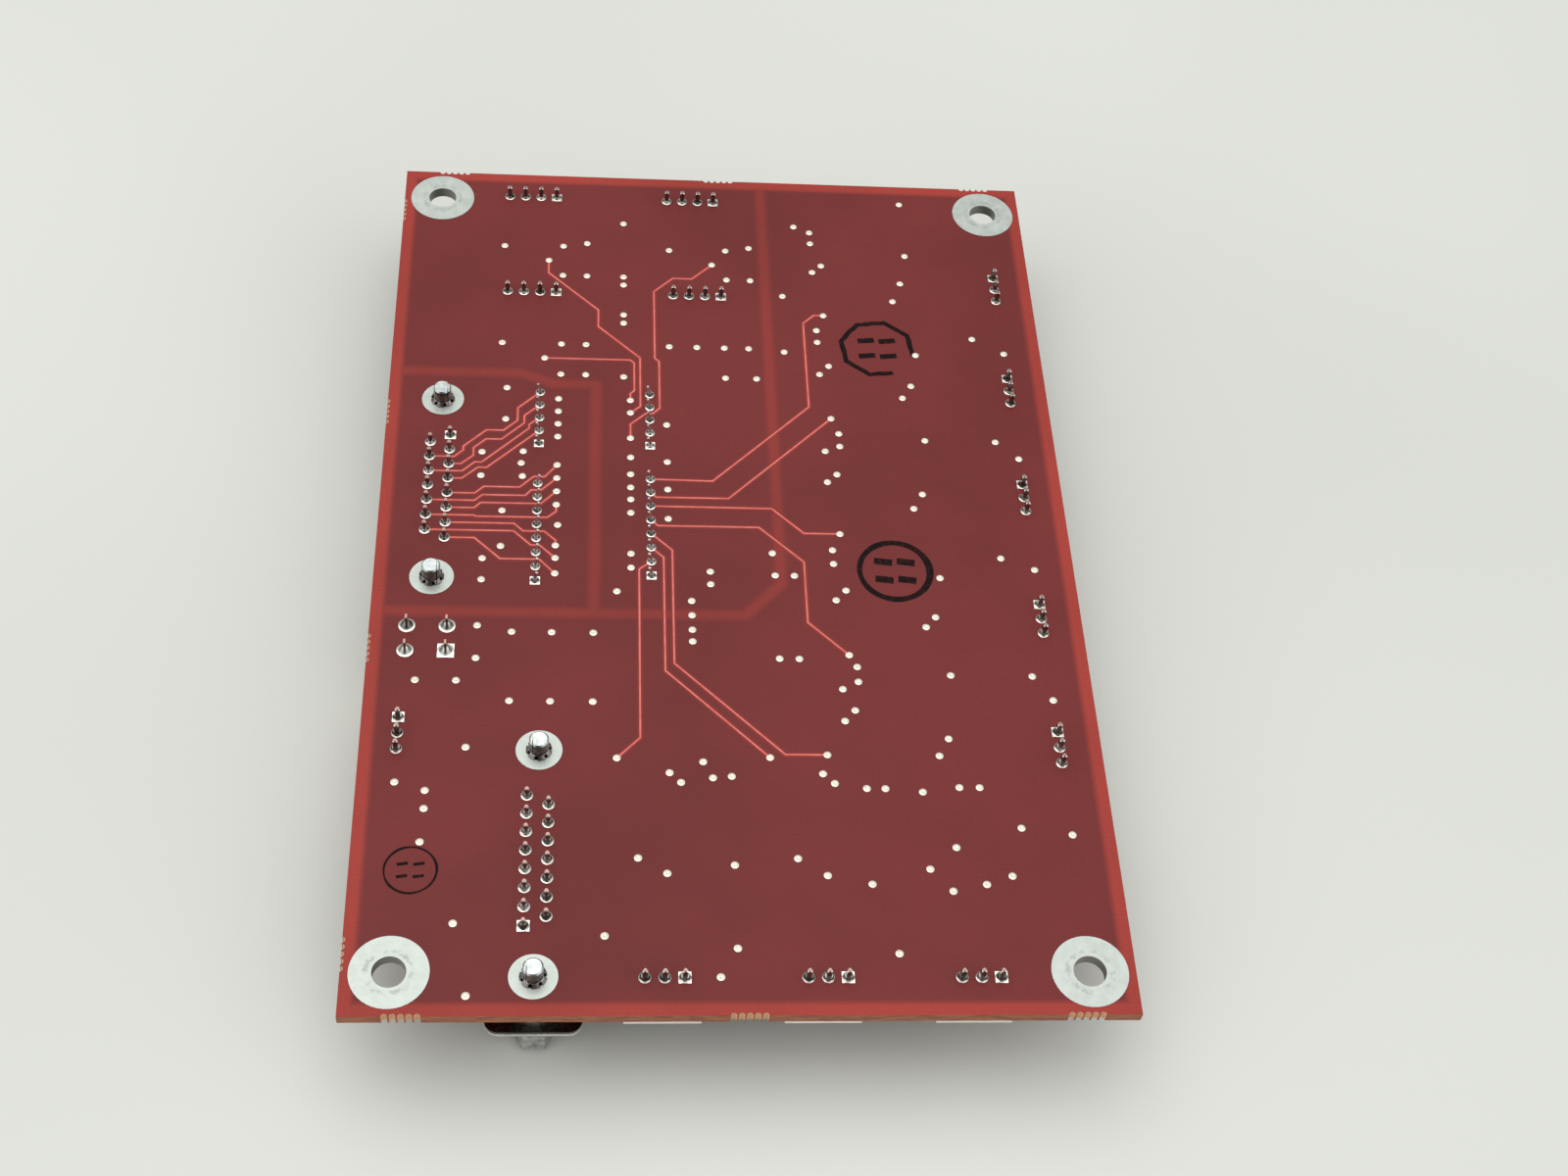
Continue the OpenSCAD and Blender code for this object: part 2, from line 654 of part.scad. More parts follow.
module rear_shell() {
    color(steel) {
        translate([0, 0, flange_h]) linear_extrude(sheet_t) difference() {
            flange_outline();
            nose_outline(rear_step);
            lock_bores(stud_d + 2 * fit);
        }
        translate([0, 0, rear_gap]) linear_extrude(flange_h - rear_gap) difference() {
            nose_outline(rear_step + sheet_t);
            nose_outline(rear_step);
        }
    }
}

// Contact places of a socket in its own frame
function socket_contacts() = contact_places([0, 0], 1);

module insulator() {
    color(moulding_black) difference() {
        union() {
            linear_extrude(flange_h + sheet_t) nose_outline(rear_step - fit);
            translate([0, 0, flange_h + sheet_t])
                linear_extrude(nose_h + sheet_t - insulator_recess) nose_outline(-fit);
        }
        translate([0, 0, -fit]) linear_extrude(relief_t + fit)
            square([row_gap + pin_land_d + 2 * relief_margin,
                (contact_count - 1) * contact_pitch + pin_land_d + 2 * relief_margin], center = true);
        for (p = socket_contacts()) translate(p) {
            translate([0, 0, -fit]) cylinder(d = tail_d + 2 * fit, h = nose_top);
            translate([0, 0, nose_top - insulator_recess - socket_depth - 2 * fit])
                cylinder(d = socket_d + 2 * fit, h = socket_depth + 1);
        }
    }
}

module contacts() {
    tail_bottom = -board_t - tail_out;
    socket_z = nose_top - insulator_recess - socket_depth;
    color(pin_gold) for (p = socket_contacts()) translate(p) {
        translate([0, 0, tail_bottom]) rotate_extrude() polygon([
            [0, 0], [tail_d / 2 - tail_bevel, 0], [tail_d / 2, tail_bevel],
            [tail_d / 2, socket_z - tail_bottom],
            [socket_d / 2, socket_z - tail_bottom], [socket_d / 2, socket_z - tail_bottom + socket_depth],
            [socket_bore_d / 2, socket_z - tail_bottom + socket_depth],
            [socket_bore_d / 2, socket_z - tail_bottom + 1], [0, socket_z - tail_bottom + 1]
        ]);
    }
}

// A board lock: a post under the board and a rolled tip whose barbs spring out over the far land
fork_flare = 0.45;
fork_flare_h = 0.5;
fork_chamfer = 0.2;
barb_count = 7;
barb_gap = 0.45;
seam_shift = 0.75;
stud_depth = 3.2;

module board_lock() {
    tip = -board_t - fork_h;
    face = -board_t - land_t - fit;
    core = fork_d / 2;
    color(steel) difference() {
        rotate_extrude() polygon([
            [0, flange_h], [post_d / 2, flange_h], [post_d / 2, land_t], [core, land_t],
            [core, face], [core + fork_flare, face], [core + fork_flare, face - fork_flare_h / 4],
            [core, face - fork_flare_h], [core, tip + fork_chamfer], [core - fork_chamfer, tip], [0, tip]
        ]);
        translate([seam_shift, -post_d, tip - 1]) cube([seam_w, 2 * post_d, 1 - tip + land_t]);
        for (i = [0:barb_count - 1]) rotate((i + 0.5) * 360 / barb_count)
            translate([core + fit, -barb_gap / 2, face - fork_flare_h])
                cube([post_d, barb_gap, fork_flare_h + fit / 2]);
        translate([0, 0, flange_h - stud_depth - fit]) cylinder(d = stud_d + 2 * fit, h = stud_depth + 1);
    }
}

module board_locks() {
    for (s = [-1, 1]) translate([0, s * lock_pitch / 2]) board_lock();
}

// A jackscrew: a hexagon with a threaded bore, on a stud that holds the flange to the lock
jack_bore_d = 2.6;
jack_bore_depth = 3.8;

module jackscrews() {
    color(steel) for (s = [-1, 1]) translate([0, s * lock_pitch / 2]) difference() {
        union() {
            translate([0, 0, flange_top]) cylinder(d = hex_w / cos(30), h = hex_h, $fn = 6);
            translate([0, 0, flange_h - stud_depth]) cylinder(d = stud_d, h = stud_depth + 2 * sheet_t);
        }
        translate([0, 0, flange_top + hex_h - jack_bore_depth])
            cylinder(d = jack_bore_d, h = jack_bore_depth + 1);
    }
}

module place_left_socket() {
    below(left_socket) children();
}

module place_lower_socket() {
    below(lower_socket, 180) children();
}

// Wire headers, drawn with the pins along x and the lower front on -y

key_slot_w = 1;
key_slot_in = 1.6;
// Hollow under a housing that clears the lands and solder of its pins
relief_t = 2 * land_t;
relief_margin = 0.2;
rake_run = 2.25;
pin_tip = 0.25;

module header_side() {
    polygon([
        [-header_front, 0], [header_back, 0], [header_back, header_back_h],
        [rake_run - header_front, header_back_h], [-header_front, header_front_h]
    ]);
}

module wire_header(count) {
    length = header_length(count);
    pocket_l = length - 2 * header_wall;
    pocket_w = header_front + header_back - 2 * header_wall;
    relief_l = (count - 1) * header_pitch + pin_land_d + 2 * relief_margin;
    relief_w = pin_land_d + 2 * relief_margin;
    color(nylon_white) difference() {
        translate([-length / 2, 0, 0]) rotate([90, 0, 90]) linear_extrude(length) header_side();
        translate([-pocket_l / 2, header_wall - header_front, header_floor])
            cube([pocket_l, pocket_w, header_back_h]);
        for (s = [-1, 1])
            translate([s * (length / 2 - header_wall - key_slot_in) - key_slot_w / 2,
                header_back - header_wall - fit, header_floor])
                cube([key_slot_w, header_wall + 1, header_back_h]);
        translate([0, 0, -fit]) linear_extrude(relief_t + fit) square([relief_l, relief_w], center = true);
        for (i = [0:count - 1])
            translate([row_offset(i, count, header_pitch), 0, -fit])
                linear_extrude(header_floor + 1) square(header_pin_w + 2 * fit, center = true);
    }
}

// A square pin with bevelled ends
module square_pin(w, bottom, top) {
    corner = w / sqrt(2);
    intersection() {
        translate([0, 0, bottom]) linear_extrude(top - bottom) square(w, center = true);
        rotate_extrude() polygon([
            [0, bottom], [corner - pin_tip, bottom], [corner + fit, bottom + pin_tip + fit],
            [corner + fit, top - pin_tip - fit], [corner - pin_tip, top], [0, top]
        ]);
    }
}

header_pin_top = header_back_h - 1.2;
pin_bottom = -board_t - header_pin_out;

module header_pins(places) {
    color(pin_gold) for (p = places) below(p) square_pin(header_pin_w, pin_bottom, header_pin_top);
}

module input_header(i) {
    below(input_places[i], top_turn) wire_header(input_pins);
}

module output_header(i) {
    below(output_headers[i][0], output_headers[i][1]) wire_header(output_pins);
}

module sensor_header() {
    below(sensor_place, sensor_turn) wire_header(output_pins);
}

// Power header: four cavities, two of them with bevelled corners, and a latch ramp on one side

power_floor = 3;
cell_bevel = 0.9;
latch_w = 3.4;
latch_out = 1.2;
latch_drop = 1.5;
latch_h = 3;
power_pin_top = power_h - 2.5;

module cell_outline(bevelled) {
    half = power_cell / 2;
    cut = bevelled ? cell_bevel : fit;
    polygon([
        [-half, -half], [half, -half], [half, half - cut], [half - cut, half],
        [cut - half, half], [-half, half - cut]
    ]);
}

module power_header() {
    color(nylon_white) below(power_place) difference() {
        union() {
            translate([0, 0, power_h / 2]) cube([power_w, power_l, power_h], center = true);
            translate([power_w / 2, latch_w / 2, power_h - latch_drop - latch_h]) rotate([90, 0, 0])
                linear_extrude(latch_w) polygon([[0, 0], [latch_out, latch_h / 2], [0, latch_h]]);
        }
        for (sx = [-1, 1], sy = [-1, 1]) translate([sx * power_rows / 2, sy * power_pitch / 2]) {
            translate([0, 0, power_floor]) linear_extrude(power_h) cell_outline(sx == sy);
            translate([0, 0, -fit]) linear_extrude(power_h) square(power_pin_w + 2 * fit, center = true);
            translate([0, 0, -fit]) linear_extrude(relief_t + fit)
                square(power_land_d + 2 * relief_margin, center = true);
        }
    }
}

module power_header_pins() {
    color(pin_gold) for (p = power_places) below(p) {
        square_pin(power_pin_w, relief_t, power_pin_top);
        translate([0, 0, pin_bottom]) linear_extrude(relief_t + pin_tip - pin_bottom)
            square([power_tail_w, power_tail_l], center = true);
    }
}

// Resistor networks: a moulded bar on a row of leads, whose ends are bent over the solder side

network_lift = 0.6;
network_bevel = 0.4;
network_lead_out = 1.9;

module network(n) {
    length = n[1] * network_pitch;
    half = network_w / 2;
    color(moulding_black) below(n[0]) translate([0, length / 2, network_lift]) rotate([90, 0, 0])
        linear_extrude(length) polygon([
            [-half, network_bevel], [network_bevel - half, 0], [half - network_bevel, 0], [half, network_bevel],
            [half, network_h - network_bevel], [half - network_bevel, network_h],
            [network_bevel - half, network_h], [-half, network_h - network_bevel]
        ]);
}

module network_leads() {
    straight = board_t + fillet_h;
    color(tin) for (n = networks, i = [0:n[1] - 1]) below(lead_in(n, i)) {
        translate([0, 0, -straight]) cylinder(d = network_lead_d, h = straight + network_lift);
        translate([0, 0, -straight]) rotate([180, -n[2], 0])
            cylinder(d1 = network_lead_d * 0.9, d2 = network_lead_d * 0.75, h = network_lead_out - fillet_h);
    }
}

// Moulded chips with gull-wing leads, drawn with the lead rows on -x and +x

chip_lift = 0.1;
chip_draft = 0.15;
lead_foot = 0.6;

module chip_body(w, l, h) {
    translate([0, l / 2, chip_lift]) rotate([90, 0, 0]) linear_extrude(l) polygon([
        [chip_draft - w / 2, 0], [w / 2 - chip_draft, 0], [w / 2, h / 2], [w / 2 - chip_draft, h],
        [3 * chip_draft - w / 2, h], [chip_draft * (1 - 4 * chip_draft / h) - w / 2, h - 2 * chip_draft],
        [-w / 2, h / 2]
    ]);
}

// One lead: from the middle of the body's side, down and out along the board
module gull_lead(w, span, h, strip_w) {
    mid = chip_lift + h / 2;
    knee = span / 2 - lead_foot;
    rotate([90, 0, 0]) linear_extrude(strip_w, center = true) polygon([
        [w / 2, mid], [knee, mid], [knee, 0], [span / 2, 0], [span / 2, lead_t],
        [knee + lead_t, lead_t], [knee + lead_t, mid + lead_t],
        [w / 2 - chip_draft * lead_t / (h / 2), mid + lead_t]
    ]);
}

module gull_leads(count, pitch, w, span, h) {
    for (i = [0:count - 1], s = [0, 180])
        translate([0, row_offset(i, count, pitch)]) rotate(s)
            gull_lead(w, span, h, lead_w);
}

lead_pitch = 1.27;
isolator_w = 4.4;
isolator_l = 10.3;
isolator_h = 2;
isolator_span = 7;
isolator_leads_per_side = 8;
chip_w = 3.9;
chip_l = 4.9;
chip_h = 1.5;
chip_span = 6;
chip_leads_per_side = 4;

module isolators() {
    color(moulding_black) for (y = isolator_y) below([isolator_x, y])
        chip_body(isolator_w, isolator_l, isolator_h);
}

module isolator_leads() {
    color(tin) for (y = isolator_y) below([isolator_x, y])
        gull_leads(isolator_leads_per_side, lead_pitch, isolator_w, isolator_span, isolator_h);
}

input_chip_places = [for (p = input_places) p + input_chip_offset];
driver_places = concat(
    [for (y = edge_outputs_y) [[edge_driver_x, y - edge_driver_drop], 0]],
    [for (p = front_outputs) [p + front_driver_offset, edge_turn]]
);
transistor_places = concat(
    [for (y = edge_outputs_y) [[edge_transistor_x, y], 0]],
    [for (p = front_outputs) [p + [0, front_transistor_up], edge_turn]]
);

module input_chips() {
    color(moulding_black) for (p = input_chip_places) below(p) chip_body(chip_w, chip_l, chip_h);
}

module driver_chips() {
    color(moulding_black) for (d = driver_places) below(d[0], d[1]) chip_body(chip_w, chip_l, chip_h);
}

module chip_leads() {
    color(tin) {
        for (p = input_chip_places) below(p)
            gull_leads(chip_leads_per_side, lead_pitch, chip_w, chip_span, chip_h);
        for (d = driver_places) below(d[0], d[1])
            gull_leads(chip_leads_per_side, lead_pitch, chip_w, chip_span, chip_h);
    }
}

// Output transistors: three leads on one side and a wide tab on the other
transistor_w = 3.5;
transistor_l = 6.5;
transistor_h = 1.6;
transistor_span = 7;
transistor_pitch = 2.3;
transistor_lead_w = 0.7;
tab_w = 3;

module output_transistors() {
    color(moulding_black) for (t = transistor_places) below(t[0], t[1])
        chip_body(transistor_w, transistor_l, transistor_h);
}

module transistor_leads() {
    color(tin) for (t = transistor_places) below(t[0], t[1]) {
        for (i = [-1:1]) translate([0, i * transistor_pitch])
            gull_lead(transistor_w, transistor_span, transistor_h, transistor_lead_w);
        rotate(180) gull_lead(transistor_w, transistor_span, transistor_h, tab_w);
    }
}

// Bulk capacitors: moulded blocks with strip terminals folded under both ends
capacitor_w = 2.4;
capacitor_l = 3.5;
capacitor_h = 1.9;
terminal_w = 1.6;
terminal_t = 0.15;
terminal_run = 0.8;

module bulk_capacitors() {
    color(capacitor_tan) for (x = capacitor_x) below([plan_x(x), capacitor_y])
        translate([0, 0, terminal_t]) rotate([90, 0, 90]) linear_extrude(capacitor_w, center = true) polygon([
            [-capacitor_l / 2, 0], [capacitor_l / 2, 0], [capacitor_l / 2, capacitor_h],
            [network_bevel - capacitor_l / 2, capacitor_h], [-capacitor_l / 2, capacitor_h - network_bevel]
        ]);
}

module capacitor_terminals() {
    color(tin) for (x = capacitor_x, s = [0, 180]) below([plan_x(x), capacitor_y], s)
        rotate([90, 0, 90]) linear_extrude(terminal_w, center = true) polygon([
            [capacitor_l / 2 - terminal_run, 0], [capacitor_l / 2 + terminal_t, 0],
            [capacitor_l / 2 + terminal_t, capacitor_h / 2], [capacitor_l / 2, capacitor_h / 2],
            [capacitor_l / 2, terminal_t], [capacitor_l / 2 - terminal_run, terminal_t]
        ]);
}

// Chip resistors: two beside each driver and one beside each input chip, along the lead row
resistor_l = 1.6;
resistor_w = 1.25;
resistor_t = 0.5;
resistor_cap = 0.25;
resistor_gap = 2.3;
resistor_reach = 4.7;

module beside_chips() {
    for (d = driver_places, s = [-1, 1]) below(d[0], d[1])
        translate([-resistor_reach, s * resistor_gap / 2]) children();
    for (p = input_chip_places) below(p) translate([-resistor_reach, 0]) children();
}

module chip_resistors() {
    color(ceramic_white) beside_chips() translate([-resistor_w / 2, -resistor_l / 2, 0])
        cube([resistor_w, resistor_l, resistor_t]);
}

module resistor_caps() {
    color(tin) beside_chips() for (turn = [0, 180]) rotate(turn)
        translate([-resistor_w / 2, resistor_l / 2, 0]) cube([resistor_w, resistor_cap, resistor_t]);
}

board();
mounting_lands();
lock_lands();
vias(lower_via_places);  // lower_vias
vias(middle_via_places);  // middle_vias
vias(right_via_places);  // right_vias
vias(top_via_places);  // top_vias
signal_traces();
socket_solder();
header_solder();
power_solder();
network_solder();
place_left_socket() front_shell();  // left_socket_front_shell
place_left_socket() rear_shell();  // left_socket_rear_shell
place_left_socket() insulator();  // left_socket_insulator
place_left_socket() contacts();  // left_socket_contacts
place_left_socket() board_locks();  // left_socket_board_locks
place_left_socket() jackscrews();  // left_socket_jackscrews
place_lower_socket() front_shell();  // lower_socket_front_shell
place_lower_socket() rear_shell();  // lower_socket_rear_shell
place_lower_socket() insulator();  // lower_socket_insulator
place_lower_socket() contacts();  // lower_socket_contacts
place_lower_socket() board_locks();  // lower_socket_board_locks
place_lower_socket() jackscrews();  // lower_socket_jackscrews
input_header(0);  // input_header_1
input_header(1);  // input_header_2
input_header(2);  // input_header_3
input_header(3);  // input_header_4
header_pins(input_pin_places);  // input_header_pins
output_header(0);  // output_header_1
output_header(1);  // output_header_2
output_header(2);  // output_header_3
output_header(3);  // output_header_4
output_header(4);  // output_header_5
output_header(5);  // output_header_6
output_header(6);  // output_header_7
output_header(7);  // output_header_8
header_pins(output_pin_places);  // output_header_pins
sensor_header();
header_pins(sensor_pin_places);  // sensor_header_pins
power_header();
power_header_pins();
network(networks[0]);  // upper_left_network
network(networks[1]);  // lower_left_network
network(networks[2]);  // upper_right_network
network(networks[3]);  // lower_right_network
network_leads();
isolators();
isolator_leads();
input_chips();
driver_chips();
chip_leads();
output_transistors();
transistor_leads();
bulk_capacitors();
capacitor_terminals();
chip_resistors();
resistor_caps();
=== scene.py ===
import json
import math

import bmesh
import bpy
import numpy as np
from mathutils import Matrix, Vector


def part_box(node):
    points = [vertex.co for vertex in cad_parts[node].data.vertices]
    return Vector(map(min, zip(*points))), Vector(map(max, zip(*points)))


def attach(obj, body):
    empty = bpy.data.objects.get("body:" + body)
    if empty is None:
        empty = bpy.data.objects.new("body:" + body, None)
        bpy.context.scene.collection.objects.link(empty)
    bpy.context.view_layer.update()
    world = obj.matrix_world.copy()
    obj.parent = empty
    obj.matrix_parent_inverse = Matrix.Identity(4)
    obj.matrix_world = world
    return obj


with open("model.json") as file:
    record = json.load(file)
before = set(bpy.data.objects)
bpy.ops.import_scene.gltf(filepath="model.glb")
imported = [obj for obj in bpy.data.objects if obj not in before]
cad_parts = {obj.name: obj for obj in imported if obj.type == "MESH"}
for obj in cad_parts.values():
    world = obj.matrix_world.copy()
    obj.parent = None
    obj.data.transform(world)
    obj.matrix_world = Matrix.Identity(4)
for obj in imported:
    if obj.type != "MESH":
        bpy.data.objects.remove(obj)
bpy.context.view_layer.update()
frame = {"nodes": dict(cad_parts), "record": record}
nodes = frame["nodes"]

# Board frame: layout places are in millimetres from the lower left corner of the board
MM = 1000.0             # millimetres in a metre
board_low, board_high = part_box("board")
BOARD_W = (board_high.x - board_low.x) * MM
BOARD_L = (board_high.y - board_low.y) * MM
TOP = board_high.z
TOP_MM = TOP * MM


def place(x, y, z=0.0):
    """A point given in board millimetres and height above the solder side, in metres."""
    return Vector((board_low.x + x / MM, board_low.y + y / MM, TOP + z / MM))


# Material helpers

NOISE_SPAN = (0.3, 0.7)     # where most values of a noise lie
CLOUD_SPAN = (0.32, 0.68)   # a little narrower, for bolder clouds
PATCH_SPAN = (0.35, 0.65)   # narrower still, for distinct patches


def srgb(r, g, b):
    """A colour written in 0 to 255 display values, as the linear values shaders use."""
    def lin(c):
        c = c / 255
        return c / 12.92 if c <= 0.04045 else ((c + 0.055) / 1.055) ** 2.4
    return (lin(r), lin(g), lin(b), 1.0)


class Nodes:
    """A thin helper around one material's node tree, with object coordinates in millimetres."""

    def __init__(self, name):
        self.mat = bpy.data.materials.new(name)
        self.mat.use_nodes = True
        self.tree = self.mat.node_tree
        self.bsdf = self.tree.nodes["Principled BSDF"]
        self.mm = self.scaled(self.new("ShaderNodeTexCoord").outputs["Object"], MM)

    def new(self, kind, **attrs):
        n = self.tree.nodes.new(kind)
        for k, v in attrs.items():
            setattr(n, k, v)
        return n

    def link(self, a, b):
        self.tree.links.new(a, b)

    def put(self, socket, value):
        if isinstance(value, bpy.types.NodeSocket):
            self.link(value, socket)
        else:
            socket.default_value = value

    def math(self, op, a, b=0.0):
        n = self.new("ShaderNodeMath", operation=op)
        self.put(n.inputs[0], a)
        self.put(n.inputs[1], b)
        return n.outputs[0]

    def scaled(self, vec, factor):
        n = self.new("ShaderNodeVectorMath", operation="SCALE")
        self.link(vec, n.inputs[0])
        self.put(n.inputs["Scale"], factor)
        return n.outputs[0]

    def ramp(self, value, low, high, out_low=0.0, out_high=1.0):
        """A soft step of a value between two limits."""
        n = self.new("ShaderNodeMapRange", interpolation_type="SMOOTHSTEP")
        self.put(n.inputs["Value"], value)
        for key, v in (("From Min", low), ("From Max", high), ("To Min", out_low), ("To Max", out_high)):
            n.inputs[key].default_value = v
        return n.outputs["Result"]

    def spread(self, noise, low, high):
        """A noise spread over the range from low to high."""
        return self.ramp(noise, *NOISE_SPAN, low, high)

    def noise(self, scale, detail=3.0, rough=0.55, stretch=None):
        n = self.new("ShaderNodeTexNoise")
        n.inputs["Scale"].default_value = scale
        n.inputs["Detail"].default_value = detail
        n.inputs["Roughness"].default_value = rough
        vec = self.mm
        if stretch:
            m = self.new("ShaderNodeVectorMath", operation="MULTIPLY")
            self.link(self.mm, m.inputs[0])
            m.inputs[1].default_value = stretch
            vec = m.outputs[0]
        self.link(vec, n.inputs["Vector"])
        return n.outputs["Fac"]

    def metal_noises(self, scale, fine_scale):
        """The clouds and the fine grain of a metal skin."""
        return self.noise(scale, 4.0, 0.6), self.noise(fine_scale)

    def mix(self, fac, a, b):
        n = self.new("ShaderNodeMix", data_type="RGBA")
        self.put(n.inputs[0], fac)
        self.put(n.inputs[6], a)
        self.put(n.inputs[7], b)
        return n.outputs[2]

    def tone(self, noise, low, high, span=CLOUD_SPAN):
        """A colour that drifts between two tones with a noise."""
        return self.mix(self.ramp(noise, *span), low, high)

    def split(self, vec):
        n = self.new("ShaderNodeSeparateXYZ")
        self.link(vec, n.inputs[0])
        return n.outputs

    def height(self):
        return self.split(self.mm)[2]

    def upward(self):
        """The upward part of the normal: 1 on faces that look up, 0 on walls."""
        return self.split(self.new("ShaderNodeNewGeometry").outputs["Normal"])[2]

    def wall(self, low, high, most=1.0):
        """The given amount on walls, fading to none on level faces."""
        return self.ramp(self.math("ABSOLUTE", self.upward()), low, high, most, 0.0)

    def uneven(self, cloud, fine, low, high, jitter=(-0.03, 0.05)):
        """Roughness that drifts with the clouds and jitters with the fine grain."""
        return self.math("ADD", self.spread(cloud, low, high), self.spread(fine, *jitter))

    def bump(self, height, strength, distance_mm):
        n = self.new("ShaderNodeBump")
        n.inputs["Strength"].default_value = strength
        n.inputs["Distance"].default_value = distance_mm / MM
        self.link(height, n.inputs["Height"])
        self.link(n.outputs[0], self.bsdf.inputs["Normal"])

    def metal_bump(self, cloud, fine, strength, distance_mm):
        self.bump(self.math("ADD", cloud, self.math("MULTIPLY", fine, 0.4)), strength, distance_mm)

    def set(self, **values):
        for key, v in values.items():
            self.put(self.bsdf.inputs[key.replace("_", " ")], v)
        return self.mat


# Materials

MAROON = srgb(113, 42, 40)
BRIGHT = srgb(159, 57, 48)
FIBRE = (srgb(120, 62, 44), srgb(172, 112, 78))
BARE_FIBRE = srgb(226, 184, 144)
GILT = (srgb(204, 164, 92), srgb(228, 194, 124))
TIN = (srgb(180, 180, 170), srgb(226, 226, 216))
CUT_END = srgb(152, 104, 96)
# Painted shade for the walls of contact tails above the board.
PAINTED_WALL_SHADE = srgb(70, 64, 60)

BORDER = (1.2, 2.3)         # from the board's edge to where the copper pour begins
BITE = (0.03, 0.1)          # from the board's edge to the walls of the panel tab bites
WEAVE_X, WEAVE_Y = 0.84, 0.62
MOUNT_INSET = 6.0
SCREW_RING_R = 2.85


def lacquer():
    """Red solder mask: maroon over the copper pour, brighter in its gaps. Fibres show at the board's edge."""
    n = Nodes("lacquered_laminate")
    x, y, z = n.split(n.mm)
    inset = n.math("MINIMUM", n.math("SUBTRACT", BOARD_W / 2, n.math("ABSOLUTE", x)),
                   n.math("SUBTRACT", BOARD_L / 2, n.math("ABSOLUTE", y)))
    border = n.ramp(inset, *BORDER, 1.0, 0.0)
    skin = n.new("ShaderNodeAttribute", attribute_name="gap").outputs["Fac"]
    gap = n.math("MAXIMUM", border, skin)
    cloud = n.noise(0.035)
    grain = n.noise(2.2, 2.0)
    weave_y = n.math("SINE", n.math("MULTIPLY", y, 2 * math.pi / WEAVE_Y))
    weave_x = n.math("SINE", n.math("MULTIPLY", x, 2 * math.pi / WEAVE_X))
    weave = n.math("ADD", n.math("MULTIPLY", weave_y, 0.7), n.math("MULTIPLY", weave_x, 0.3))
    shade = n.math("ADD", n.spread(cloud, 0.90, 1.08), n.math("MULTIPLY", weave, 0.035))
    shade = n.math("ADD", shade, n.spread(grain, -0.05, 0.05))
    mask = n.scaled(n.mix(gap, MAROON, BRIGHT), shade)
    fibre = n.noise(1.0, 4.0, 0.6, stretch=(0.5, 0.5, 9.0))
    side = n.tone(fibre, *FIBRE, PATCH_SPAN)
    side = n.mix(n.ramp(inset, *BITE, 0.0, 0.85), side, BARE_FIBRE)
    flat = n.ramp(n.math("ABSOLUTE", n.upward()), 0.4, 0.6)
    masked = n.math("MAXIMUM", flat, n.ramp(z, TOP_MM - 0.01, TOP_MM))
    colour = n.mix(masked, side, mask)
    rough = n.math("ADD", n.spread(grain, 0.44, 0.54), n.math("MULTIPLY", weave, 0.02))
    n.bump(n.math("ADD", weave, n.math("MULTIPLY", grain, 2.0)), 0.25, 0.02)
    return n.set(Base_Color=colour, Roughness=rough, Specular_IOR_Level=0.2)


def lacquered_copper():
    """Signal traces: copper strips that shine through the same red mask."""
    n = Nodes("lacquered_copper")
    fine = n.noise(5.0, 2.0)
    colour = n.tone(n.noise(0.6), srgb(212, 100, 91), srgb(228, 118, 108), NOISE_SPAN)
    n.bump(fine, 0.3, 0.02)
    return n.set(Base_Color=colour, Roughness=n.spread(fine, 0.40, 0.5), Specular_IOR_Level=0.3)


def metal(name, low, high, rough, scale, bump, depth=0.02, metallic=1.0):
    """Bright metal with cloudy colour and roughness, and an uneven skin."""
    n = Nodes(name)
    cloud, fine = n.metal_noises(scale, scale * 6)
    n.metal_bump(cloud, fine, bump, depth)
    return n.set(Base_Color=n.tone(cloud, low, high),
                 Roughness=n.uneven(cloud, fine, *rough, jitter=(-0.04, 0.06)), Metallic=metallic)


def solder():
    """Solder joints: bright skirts with a painted dark reflection towards the pin, stronger on some joints
    than others.
    """
    n = Nodes("solder")
    cloud, fine = n.metal_noises(1.6, 9.6)
    joint = n.noise(0.23, 1.0)
    bright = n.tone(cloud, srgb(214, 214, 202), srgb(242, 240, 230))
    height = n.math("ADD", n.height(), n.spread(fine, -0.06, 0.06))
    climb = n.ramp(height, TOP_MM + 0.07, TOP_MM + 0.2)
    # Painted reflection: the solder darkens to a brownish grey as it climbs towards the pin.
    painted_dark_reflection = n.math("MULTIPLY", climb, n.ramp(joint, *PATCH_SPAN, 0.5, 1.0))
    colour = n.mix(painted_dark_reflection, bright, srgb(84, 80, 74))
    n.metal_bump(cloud, fine, 0.3, 0.03)
    return n.set(Base_Color=colour, Roughness=n.uneven(cloud, fine, 0.08, 0.18), Metallic=0.92)


